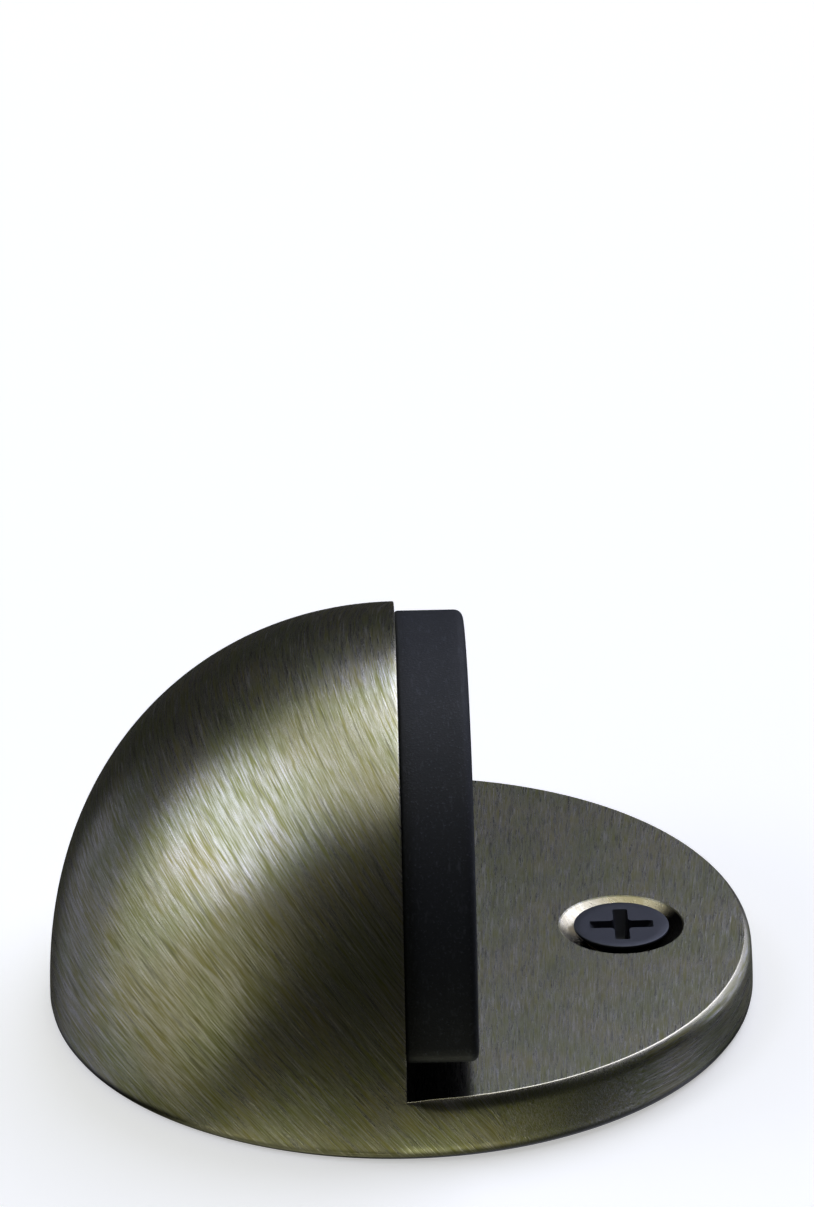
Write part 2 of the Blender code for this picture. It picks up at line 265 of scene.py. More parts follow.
def cut(piece, cutter, operation="DIFFERENCE"):
    """Applies an exact Boolean and removes the other object."""
    modifier = piece.modifiers.new("cut", "BOOLEAN")
    modifier.operation = operation
    modifier.solver = "EXACT"
    modifier.object = cutter
    bpy.context.view_layer.update()
    evaluated = piece.evaluated_get(bpy.context.evaluated_depsgraph_get())
    mesh = bpy.data.meshes.new_from_object(evaluated)
    piece.modifiers.clear()
    piece.data = mesh
    bpy.data.objects.remove(cutter, do_unlink=True)


def arc(centre_radius, centre_height, radius, start, end, steps):
    """(radius, height) points along an arc, with its angles measured up from the outward direction."""
    angles = [start + (end - start) * step / steps for step in range(steps + 1)]
    return [
        (centre_radius + radius * math.cos(a), centre_height + radius * math.sin(a))
        for a in angles
    ]


def turned(name, profile, segments, place=(0.0, 0.0, 0.0), turn=0.0):
    """A closed solid of revolution about Z from (radius, height) points, which start and end at radius 0."""
    build = bmesh.new()
    rows = []
    for radius, height in profile:
        if radius == 0.0:
            tip = build.verts.new((0.0, 0.0, height))
            rows.append([tip] * (segments + 1))
            continue
        angles = [turn + math.tau * step / segments for step in range(segments)]
        ring = [build.verts.new((radius * math.cos(a), radius * math.sin(a), height)) for a in angles]
        rows.append(ring + ring[:1])
    skin(build, rows)
    piece = finish_mesh(build, name)
    piece.data.transform(Matrix.Translation(Vector(place) * MM))
    return piece


def box(name, low, high):
    build = bmesh.new()
    bmesh.ops.create_cube(build, size=1.0)
    for vertex in build.verts:
        for axis in range(3):
            vertex.co[axis] = high[axis] if vertex.co[axis] > 0 else low[axis]
    return finish_mesh(build, name)


def laid_along_x(piece, y, z):
    """Turns a piece made about Z so that its top points along +X, and puts its axis at (y, z)."""
    piece.data.transform(Matrix.Rotation(math.pi / 2, 4, "Y"))
    piece.data.transform(Matrix.Translation(Vector((0.0, y, z)) * MM))
    return piece


# ---------------------------------------------------------------- cast body


def dome_radius(height, inset=0.0):
    share = max(0.0, 1.0 - (height / (DOME_HEIGHT - inset)) ** DOME_POWER)
    return (BASE_RADIUS - inset) * share ** (1 / DOME_POWER)


def dome_slope(height):
    """How far the dome's normal points up at a height, as an angle."""
    step = 0.001
    return math.atan2(dome_radius(height - step) - dome_radius(height + step), 2 * step)


def dome_hit(direction):
    """Where a ray from the middle of the foot's upper edge meets the dome."""
    flat = math.hypot(direction.x, direction.y) / BASE_RADIUS
    rise = direction.z / DOME_HEIGHT
    start = FOOT_EDGE / DOME_HEIGHT
    reach = (flat**DOME_POWER + rise**DOME_POWER) ** (-1 / DOME_POWER)
    for _ in range(DOME_TRIES):
        value = (reach * flat) ** DOME_POWER + (start + reach * rise) ** DOME_POWER - 1
        growth = DOME_POWER * flat * (reach * flat) ** (DOME_POWER - 1)
        growth += DOME_POWER * rise * (start + reach * rise) ** (DOME_POWER - 1)
        reach -= value / growth
    return Vector((0.0, 0.0, FOOT_EDGE)) + direction * reach


def dome_normal(point):
    radius = math.hypot(point.x, point.y)
    outward = radius ** (DOME_POWER - 2) / BASE_RADIUS**DOME_POWER
    up = point.z ** (DOME_POWER - 1) / DOME_HEIGHT**DOME_POWER
    return Vector((point.x * outward, point.y * outward, up)).normalized()


def toe_ridge(x):
    """Radius of the ridge between the toe's rounded side and its flat top. It runs out to meet the dome."""
    return RIDGE_RADIUS + RIDGE_CORNER_OUTSET * math.exp(-((x / RIDGE_CORNER_LENGTH) ** 2))


def toe_profile(x):
    """Where the toe's side leaves the dome's shape, and the (radius, height) points from there to its top."""
    ridge = toe_ridge(x)
    ridge_height = TOE_TOP - RIDGE_EDGE * (1 - math.sin(RIDGE_ANGLE))
    start = ridge_height - RIDGE_GUESS
    for _ in range(RIDGE_TRIES):
        lean = dome_slope(start)
        radius = (dome_radius(start) - ridge) / (math.cos(lean) - math.cos(RIDGE_ANGLE))
        start = ridge_height - radius * (math.sin(RIDGE_ANGLE) - math.sin(lean))
    centre_radius = dome_radius(start) - radius * math.cos(lean)
    centre_height = start - radius * math.sin(lean)
    side = arc(centre_radius, centre_height, radius, lean, RIDGE_ANGLE, EDGE_STEPS)
    edge_radius = ridge - RIDGE_EDGE * math.cos(RIDGE_ANGLE)
    edge = arc(edge_radius, TOE_TOP - RIDGE_EDGE, RIDGE_EDGE, RIDGE_ANGLE, math.pi / 2, SMALL_STEPS)
    return start, side[1:] + edge[1:]


def arch_angles(corner_height):
    """Angles along the arch from -Y over the top to +Y, with one at each row of the toe's wall."""
    low = []
    for row in range(WALL_ROWS + 1):
        height = FOOT_EDGE + (corner_height - FOOT_EDGE) * row / WALL_ROWS
        low.append(math.atan2(height - FOOT_EDGE, dome_radius(height)))
    extra = [corner_height + step for step in CORNER_STEPS] + [TOE_TOP + step for step in ARCH_STEPS]
    for height in extra:
        low.append(math.atan2(height - FOOT_EDGE, dome_radius(height)))
    span = math.pi - 2 * low[-1]
    middle = [low[-1] + span * step / ARCH_COLUMNS for step in range(1, ARCH_COLUMNS)]
    return low + middle + [math.pi - a for a in reversed(low)]


def arch_edge(height, corner_height):
    """Radius of the rounded edge of the upright face, which starts where the toe's side turns in."""
    share = max(0.0, (height - corner_height) / (TOE_TOP - corner_height))
    return ARCH_EDGE * min(1.0, share)


def dome_rows(build, corner_height):
    """Rows of vertices from the upright face back to the foot. Each row runs from -Y over the top to +Y."""
    columns = []
    for angle in arch_angles(corner_height):
        side, rise = -math.cos(angle), math.sin(angle)
        if rise < 1e-6:
            pole = build.verts.new(dome_hit(Vector((0.0, side, 0.0))))
            columns.append([pole] * (SMALL_STEPS + 1 + DOME_ROWS))
            continue
        front = dome_hit(Vector((0.0, side, rise)))
        inward = dome_normal(front)
        edge = arch_edge(front.z, corner_height)
        column = []
        for step in range(SMALL_STEPS + 1):
            turn = math.pi / 2 * step / SMALL_STEPS
            back = edge * (1 - math.cos(turn))
            point = front - inward * edge * (1 - math.sin(turn)) - Vector((back, 0.0, 0.0))
            column.append(build.verts.new(point) if edge > 0 or not column else column[0])
        reach = (front - Vector((0.0, 0.0, FOOT_EDGE))).length
        first = math.asin(edge / (reach * rise))
        for row in range(1, DOME_ROWS + 1):
            lean = first + (math.pi / 2 - first) * row / DOME_ROWS
            direction = Vector((-math.sin(lean) * rise, side, math.cos(lean) * rise))
            column.append(build.verts.new(dome_hit(direction)))
        columns.append(column)
    return [list(row) for row in zip(*columns)]


def toe_rows(build, arch_row):
    """Rows of the toe's side and rounded edge, from -Y round the front to +Y, joined to the arch's foot."""
    columns = []
    for step in range(TOE_COLUMNS + 1):
        angle = math.pi * (step / TOE_COLUMNS - 0.5)
        flat = Vector((math.cos(angle), math.sin(angle), 0.0))
        if step in (0, TOE_COLUMNS):
            flat = Vector((0.0, math.copysign(1.0, angle), 0.0))
        start, top = toe_profile(flat.x * BASE_RADIUS)
        if step in (0, TOE_COLUMNS):
            foot = arch_row if step == 0 else arch_row[::-1]
            column = foot[: WALL_ROWS + 1]
        else:
            rise = (start - FOOT_EDGE) / WALL_ROWS
            heights = [FOOT_EDGE + rise * row for row in range(WALL_ROWS + 1)]
            column = [build.verts.new(flat * dome_radius(z) + Vector((0, 0, z))) for z in heights]
        column += [build.verts.new(flat * radius + Vector((0, 0, z))) for radius, z in top]
        columns.append(column)
    return [list(row) for row in zip(*columns)]


def foot_rows(build, ring):
    """The rounded lower edge under a ring of vertices, and the flat foot."""
    rows = [ring]
    for reach, height in arc(0.0, FOOT_EDGE, FOOT_EDGE, 0.0, -math.pi / 2, SMALL_STEPS)[1:]:
        inset = FOOT_EDGE - reach
        row = []
        for vertex in ring:
            flat = Vector((vertex.co.x, vertex.co.y, 0.0))
            point = flat * (1 - inset / flat.length)
            row.append(build.verts.new((point.x, point.y, height)))
        rows.append(row)
    skin(build, [row + row[:1] for row in rows])
    build.faces.new(rows[-1])


def body_blank():
    """The casting's outside as one closed mesh: half dome, upright face, toe and foot."""
    build = bmesh.new()
    corner_height, _ = toe_profile(0.0)
    dome = dome_rows(build, corner_height)
    toe = toe_rows(build, dome[0])
    skin(build, dome)
    skin(build, toe)
    build.faces.new(toe[-1])
    left = [row[0] for row in toe[WALL_ROWS:]]
    right = [row[-1] for row in toe[WALL_ROWS:]]
    arch = dome[0][WALL_ROWS + 1 : -WALL_ROWS - 1]
    build.faces.new(left + right[::-1] + arch[::-1])
    foot_rows(build, toe[0] + dome[-1][-2:0:-1])
    return finish_mesh(build, "cast_body")


def hollow():
    """The space under the dome, without the boss and the rib that stand in it."""
    steps = [math.pi / 2 * row / HOLLOW_ROWS for row in range(HOLLOW_ROWS + 1)]
    power = 2 / DOME_POWER
    radius, height = BASE_RADIUS - WALL, DOME_HEIGHT - WALL
    side = [(radius * math.sin(a) ** power, height * max(0.0, math.cos(a)) ** power) for a in steps]
    profile = side + [(side[-1][0], -OVERRUN), (0.0, -OVERRUN)]
    space = turned("hollow", profile, HOLE_SEGMENTS, turn=math.pi / HOLE_SEGMENTS)
    reach = BASE_RADIUS + OVERRUN
    cut(space, box("front", (-WALL, -reach, -2 * OVERRUN), (reach, reach, DOME_HEIGHT)))
    core = [(0.0, DOME_HEIGHT), (BOSS_RADIUS, DOME_HEIGHT), (BOSS_RADIUS, BOSS_FOOT), (0.0, BOSS_FOOT)]
    cut(space, turned("boss", core, HOLE_SEGMENTS // 2, (PIN_X, 0.0, 0.0), BOSS_TURN))
    half_rib = RIB_THICKNESS / 2
    cut(space, box("rib", (-BASE_RADIUS, -half_rib, RIB_FOOT), (0.0, half_rib, DOME_HEIGHT)))
    return space


def screw_hole():
    """The countersunk hole, whose mouth is very slightly broken."""
    mouth = MOUTH_EDGE / 2
    profile = [
        (0.0, TOE_TOP + OVERRUN),
        (SINK_RADIUS + MOUTH_EDGE, TOE_TOP + OVERRUN),
        (SINK_RADIUS + MOUTH_EDGE, TOE_TOP + mouth / 2),
        (SINK_RADIUS + mouth, TOE_TOP - mouth / 4),
        (SINK_RADIUS, TOE_TOP - mouth),
        (HOLE_RADIUS, TOE_TOP - SINK_DEPTH),
        (HOLE_RADIUS, -OVERRUN),
        (0.0, -OVERRUN),
    ]
    return turned("screw_hole", profile, HOLE_SEGMENTS, (HOLE_X, 0.0, 0.0))


def pin_hole():
    profile = [
        (0.0, PIN_HOLE_TOP),
        (PIN_HOLE_RADIUS, PIN_HOLE_TOP),
        (PIN_HOLE_RADIUS, -OVERRUN),
        (0.0, -OVERRUN),
    ]
    return turned("pin_hole", profile, HOLE_SEGMENTS // 2, (PIN_X, 0.0, 0.0), PIN_HOLE_TURN)


def lug_hole(side):
    profile = [
        (0.0, OVERRUN),
        (LUG_HOLE_RADIUS, OVERRUN),
        (LUG_HOLE_RADIUS, -WALL - OVERRUN),
        (0.0, -WALL - OVERRUN),
    ]
    return laid_along_x(turned("lug_hole", profile, HOLE_SEGMENTS // 2), side * LUG_Y, LUG_Z)


def cast_body(brass, casting):
    body = body_blank()
    body.data.materials.append(brass)
    body.data.materials.append(casting)
    for cutter in (hollow(), pin_hole(), lug_hole(-1), lug_hole(1)):
        cutter.data.materials.append(brass)
        cutter.data.materials.append(casting)
        for face in cutter.data.polygons:
            face.material_index = 1
        cut(body, cutter)
    cut(body, screw_hole())
    shade(body)
    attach(body, "body")
    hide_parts("stop_body")


# ---------------------------------------------------------------- rubber buffer


def pad_outline(inset):
    """(y, z) points of the pad's D shape, set in from its true outline, with rounded lower corners."""
    total = PAD_INSET + inset
    foot = PAD_FOOT + inset
    corner = PAD_CORNER - inset
    height = foot + corner
    reach = dome_radius(height, total) - corner
    turns = [math.pi / 2 * step / SMALL_STEPS for step in range(SMALL_STEPS)]
    rounded = [(reach + corner * math.sin(a), height - corner * math.cos(a)) for a in turns]
    low = math.asin((height / (DOME_HEIGHT - total)) ** (DOME_POWER / 2))
    angles = [low + (math.pi / 2 - low) * step / PAD_STEPS for step in range(PAD_STEPS)]
    power = 2 / DOME_POWER
    width, top = BASE_RADIUS - total, DOME_HEIGHT - total
    side = [(width * math.cos(a) ** power, top * math.sin(a) ** power) for a in angles]
    right = rounded + side
    return right + [(0.0, top)] + [(-y, z) for y, z in reversed(right)]


def buffer_pad(rubber):
    """The pad as rings of its outline, from the middle of its back, over both rounded edges, to its front."""
    build = bmesh.new()
    layers = [(PAD_BACK, PAD_BACK_EDGE)] + [
        (PAD_BACK + PAD_BACK_EDGE * (1 - math.cos(a)), PAD_BACK_EDGE * (1 - math.sin(a)))
        for a in [math.pi / 2 * step / SMALL_STEPS for step in range(1, SMALL_STEPS + 1)]
    ]
    straight = PAD_FRONT - PAD_FRONT_EDGE - PAD_BACK - PAD_BACK_EDGE
    first = PAD_BACK + PAD_BACK_EDGE
    layers += [(first + straight * step / EDGE_STEPS, 0.0) for step in range(1, EDGE_STEPS)]
    layers += [
        (PAD_FRONT - PAD_FRONT_EDGE * (1 - math.sin(a)), PAD_FRONT_EDGE * (1 - math.cos(a)))
        for a in [math.pi / 2 * step / EDGE_STEPS for step in range(EDGE_STEPS + 1)]
    ]
    rows = []
    for x, inset in layers:
        ring = [build.verts.new((x, y, z)) for y, z in pad_outline(inset)]
        rows.append(ring + ring[:1])
    skin(build, rows)
    build.faces.new(rows[0][:-1])
    build.faces.new(rows[-1][:-1])
    pad = finish_mesh(build, "buffer_pad")
    pad.data.materials.append(rubber)
    shade(pad)
    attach(pad, "body")
    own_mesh(pad)
    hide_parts("rubber_buffer")


def buffer_lug(side, rubber):
    """A moulded lug through the upright wall, with a rounded barb behind it."""
    shoulder = -WALL - BARB_GAP
    tip = shoulder - BARB_LENGTH
    profile = [
        (0.0, PAD_BACK + LUG_ROOT),
        (LUG_RADIUS, PAD_BACK + LUG_ROOT),
        (LUG_RADIUS, shoulder),
        (BARB_RADIUS - LUG_ROUND, shoulder),
        (BARB_RADIUS, shoulder - LUG_ROUND),
        (BARB_TIP_RADIUS + LUG_ROUND, tip + LUG_ROUND),
        (BARB_TIP_RADIUS - LUG_ROUND, tip),
        (0.0, tip),
    ]
    name = "buffer_lug_left" if side > 0 else "buffer_lug_right"
    lug = laid_along_x(turned(name, profile, LUG_SEGMENTS), side * LUG_Y, LUG_Z)
    lug.data.materials.append(rubber)
    shade(lug)
    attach(lug, "body")


# ---------------------------------------------------------------- screw


def thread_height(height, angle):
    """How far the thread stands out of the core at a height and an angle about the screw's axis."""
    tip = SCREW_LOW.z
    end = tip + THREAD_END_GAP
    if not end < height < THREAD_START:
        return 0.0
    place = (height / THREAD_PITCH + angle / math.tau) % 1.0
    distance = abs(place - 0.5) * THREAD_PITCH
    ridge = max(0.0, 1 - distance / THREAD_HALF_WIDTH)
    fade_top = min(1.0, (THREAD_START - height) / THREAD_PITCH)
    fade_tip = min(1.0, (height - end) / TIP_LENGTH + THREAD_TIP_SHARE)
    return (THREAD_RADIUS - CORE_RADIUS) * ridge * fade_top * fade_tip


def screw_profile():
    """(radius, height) points of the screw without its thread, from the middle of its head to its tip."""
    cone_foot = TOE_TOP - HEAD_RIM - (HEAD_RADIUS - NECK_RADIUS)
    tip = SCREW_LOW.z
    shoulder = HEAD_RADIUS - HEAD_EDGE
    profile = [(0.0, TOE_TOP)]
    profile += [(shoulder * step / EDGE_STEPS, TOE_TOP) for step in range(1, EDGE_STEPS)]
    profile += arc(shoulder, TOE_TOP - HEAD_EDGE, HEAD_EDGE, math.pi / 2, 0.0, SMALL_STEPS)
    profile += [(HEAD_RADIUS, TOE_TOP - HEAD_RIM), (NECK_RADIUS, cone_foot)]
    for step in range(1, int((cone_foot - tip) / SCREW_ROW)):
        height = cone_foot - step * SCREW_ROW
        radius = NECK_RADIUS if height > THREAD_START else CORE_RADIUS
        radius = min(radius, CORE_RADIUS * ((height - tip) / TIP_LENGTH) ** TIP_POWER)
        profile.append((max(radius, TIP_RADIUS), height))
    return profile + [(0.0, tip)]


def screw_blank():
    build = bmesh.new()
    rows = []
    for radius, height in screw_profile():
        if radius == 0.0:
            tip = build.verts.new((HOLE_X, 0.0, height))
            rows.append([tip] * (SCREW_SEGMENTS + 1))
            continue
        ring = []
        for step in range(SCREW_SEGMENTS):
            angle = math.tau * step / SCREW_SEGMENTS
            reach = radius + thread_height(height, angle)
            x, y = HOLE_X + reach * math.cos(angle), reach * math.sin(angle)
            ring.append(build.verts.new((x, y, height)))
        rows.append(ring + ring[:1])
    skin(build, rows)
    return finish_mesh(build, "wood_screw")


def corner_arc(centre, radius, start, end, steps):
    """Points of an arc in the plane, from a start angle to an end angle in degrees."""
    angles = [math.radians(start + (end - start) * step / steps) for step in range(steps + 1)]
    return [centre + radius * Vector((math.cos(a), math.sin(a))) for a in angles]


def cross_outline(reach, half_width, fillet, tip_round):
    """A cross with filleted inner corners and rounded tips, made of four turned copies of one quarter."""
    quarter = corner_arc(Vector((reach - tip_round, half_width - tip_round)), tip_round, 0, 90, TIP_STEPS)
    middle = Vector((half_width + fillet, half_width + fillet))
    quarter += corner_arc(middle, fillet, 270, 180, FILLET_STEPS)
    quarter += corner_arc(Vector((half_width - tip_round, reach - tip_round)), tip_round, 0, 90, TIP_STEPS)
    points = []
    for turn in range(4):
        rotation = Matrix.Rotation(turn * math.pi / 2, 2)
        points += [rotation @ point for point in quarter]
    return points


def recess():
    """The cross recess as a loft: its wings run in steeply, its sides only a little."""
    build = bmesh.new()
    round_share, width_share = RECESS_POINT_SHARES
    levels = [
        (RECESS_OVERRUN, 1.0, RECESS_REACH + RECESS_FLARE[0], RECESS_HALF_WIDTH + RECESS_FLARE[1]),
        (0.0, 1.0, RECESS_REACH, RECESS_HALF_WIDTH),
        (-RECESS_DEPTH * RECESS_WALL_SHARE, RECESS_WALL_SHARE, RECESS_FLOOR_REACH, RECESS_FLOOR_HALF_WIDTH),
        (-RECESS_DEPTH, round_share, RECESS_FLOOR_REACH * width_share, RECESS_FLOOR_HALF_WIDTH * width_share),
    ]
    rows = []
    for rise, share, reach, half_width in levels:
        height = TOE_TOP + rise
        tip_round = RECESS_TIP_ROUND * share * half_width
        outline = cross_outline(reach, half_width, RECESS_FILLET * share, tip_round)
        ring = [build.verts.new((HOLE_X + x, y, height)) for x, y in outline]
        rows.append(ring + ring[:1])
    skin(build, rows)
    build.faces.new(rows[0][:-1])
    build.faces.new(rows[-1][:-1])
    return finish_mesh(build, "recess")


def wood_screw(black):
    screw = screw_blank()
    cut(screw, recess())
    screw.data.materials.append(black)
    shade(screw)
    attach(screw, "screw")
    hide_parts("fixing_screw")


# ---------------------------------------------------------------- plug and pin


def plug_profile():
    """(radius, height) points of the plug's outside: a collar, six saw teeth and a tapered, rounded tip."""
    root = PLUG_RADIUS - PLUG_TOOTH_DEPTH
    top = PLUG_HIGH.z
    collar_foot = top - PLUG_COLLAR
    pitch = (PLUG_TEETH_TOP - PLUG_TEETH_FOOT) / PLUG_TEETH
    profile = [(0.0, top)]
    profile += arc(PLUG_RADIUS - PLUG_ROUND, top - PLUG_ROUND, PLUG_ROUND, math.pi / 2, 0.0, SMALL_STEPS)
    profile += [(PLUG_RADIUS, collar_foot), (root, collar_foot - PLUG_TOOTH_DEPTH)]
    for tooth in range(PLUG_TEETH):
        crest = PLUG_TEETH_TOP - tooth * pitch
        profile += [
            (PLUG_RADIUS - PLUG_ROUND, crest + PLUG_ROUND / 4),
            (PLUG_RADIUS, crest - PLUG_ROUND / 2),
            (root, crest - pitch * PLUG_TOOTH_SHARE),
        ]
    profile.append((root, PLUG_TEETH_FOOT))
    profile += arc(PLUG_TIP_RADIUS - 2 * PLUG_ROUND, PLUG_LOW.z + 2 * PLUG_ROUND, 2 * PLUG_ROUND,
                   0.0, -math.pi / 2, SMALL_STEPS)
    return profile + [(0.0, PLUG_LOW.z)]


def floor_plug(nylon):
    place = (HOLE_X, 0.0, 0.0)
    plug = turned("nylon_plug", plug_profile(), HOLE_SEGMENTS // 2, place, PLUG_TURN)
    top = PLUG_HIGH.z + OVERRUN
    bore = [(0.0, top), (PLUG_BORE_RADIUS, top), (PLUG_BORE_RADIUS, PLUG_BORE_FLOOR), (0.0, PLUG_BORE_FLOOR)]
    cut(plug, turned("bore", bore, HOLE_SEGMENTS // 2, place, BORE_TURN))
    reach, half = PLUG_RADIUS + OVERRUN, SLIT_WIDTH / 2
    cut(plug, box("slit_along", (HOLE_X - reach, -half, SLIT_FOOT), (HOLE_X + reach, half, SLIT_TOP)))
    cut(plug, box("slit_across", (HOLE_X - half, -reach, SLIT_FOOT), (HOLE_X + half, reach, SLIT_TOP)))
    plug.data.materials.clear()
    plug.data.materials.append(nylon)
    shade(plug)
    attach(plug, "body")
    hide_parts("floor_plug")


def locating_pin(steel):
    radius = (PIN_HIGH.y - PIN_LOW.y) / 2
    profile = [
        (0.0, PIN_HIGH.z),
        (radius - PIN_CHAMFER, PIN_HIGH.z),
        (radius, PIN_HIGH.z - PIN_CHAMFER),
        (radius, PIN_LOW.z + PIN_CHAMFER),
        (radius - PIN_CHAMFER, PIN_LOW.z),
        (0.0, PIN_LOW.z),
    ]
    pin = turned("dowel_pin", profile, HOLE_SEGMENTS // 2, (PIN_X, 0.0, 0.0))
    pin.data.materials.append(steel)
    shade(pin)
    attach(pin, "body")
    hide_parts("locating_pin")


# ---------------------------------------------------------------- materials


class Graph:
    """A material's node tree, with short calls for the nodes used here."""

    def __init__(self, name):
        self.material = bpy.data.materials.new(name)
        self.material.use_nodes = True
        self.tree = self.material.node_tree
        self.shader = self.tree.nodes["Principled BSDF"]
        coordinates = self.tree.nodes.new("ShaderNodeTexCoord")
        self.place = self.vector("SCALE", coordinates.outputs["Object"], scale=1 / MM)
        self.x, self.y, self.z = self.split(self.place)
        geometry = self.tree.nodes.new("ShaderNodeNewGeometry")
        self.normal = geometry.outputs["Normal"]
        self.nx, self.ny, self.nz = self.split(self.normal)

    def feed(self, socket, value):
        if isinstance(value, bpy.types.NodeSocket):
            self.tree.links.new(value, socket)
        elif isinstance(value, tuple) and len(value) == 3 and len(socket.default_value) == 4:
            socket.default_value = (*value, 1.0)
        else:
            socket.default_value = value

    def math(self, operation, first, second=0.0, third=0.0):
        node = self.tree.nodes.new("ShaderNodeMath")
        node.operation = operation
        for socket, value in zip(node.inputs, (first, second, third)):
            self.feed(socket, value)
        return node.outputs[0]

    def vector(self, operation, first, second=(0.0, 0.0, 0.0), scale=1.0):
        node = self.tree.nodes.new("ShaderNodeVectorMath")
        node.operation = operation
        self.feed(node.inputs[0], first)
        if operation == "SCALE":
            node.inputs[3].default_value = scale
        else:
            self.feed(node.inputs[1], second)
        return node.outputs["Value"] if operation in ("DOT_PRODUCT", "LENGTH") else node.outputs[0]

    def split(self, vector):
        node = self.tree.nodes.new("ShaderNodeSeparateXYZ")
        self.feed(node.inputs[0], vector)
        return node.outputs[0], node.outputs[1], node.outputs[2]

    def join(self, x, y, z):
        node = self.tree.nodes.new("ShaderNodeCombineXYZ")
        for socket, value in zip(node.inputs, (x, y, z)):
            self.feed(socket, value)
        return node.outputs[0]

    def noise(self, vector, scale=1.0, detail=2.0, roughness=0.5, distortion=0.0):
        node = self.tree.nodes.new("ShaderNodeTexNoise")
        self.feed(node.inputs["Vector"], vector)
        node.inputs["Scale"].default_value = scale
        node.inputs["Detail"].default_value = detail
        node.inputs["Roughness"].default_value = roughness
        node.inputs["Distortion"].default_value = distortion
        return node.outputs[0]

    def span(self, value, low, high, to_low=0.0, to_high=1.0, smooth=True):
        """Maps low..high to to_low..to_high, clamped."""
        node = self.tree.nodes.new("ShaderNodeMapRange")
        node.interpolation_type = "SMOOTHSTEP" if smooth else "LINEAR"
        self.feed(node.inputs["Value"], value)
        node.inputs["From Min"].default_value = low
        node.inputs["From Max"].default_value = high
        node.inputs["To Min"].default_value = to_low
        node.inputs["To Max"].default_value = to_high
        return node.outputs["Result"]

    def mix(self, share, first, second, kind="RGBA"):
        """A colour, or a vector as a colour, between first and second."""
        node = self.tree.nodes.new("ShaderNodeMix")
        node.data_type = kind
        for socket, value in zip([s for s in node.inputs if s.enabled], (share, first, second)):
            self.feed(socket, value)
        return [s for s in node.outputs if s.enabled][0]

    def blend(self, share, first, second):
        """A number between first and second."""
        return self.mix(share, first, second, "FLOAT")

    def bump(self, height, strength, distance):
        node = self.tree.nodes.new("ShaderNodeBump")
        node.inputs["Strength"].default_value = strength
        node.inputs["Distance"].default_value = distance
        self.feed(node.inputs["Height"], height)
        return node.outputs[0]

    def set(self, **values):
        """Sets or links inputs of the shader, with underscores for spaces in their names."""
        for name, value in values.items():
            self.feed(self.shader.inputs[name.replace("_", " ")], value)


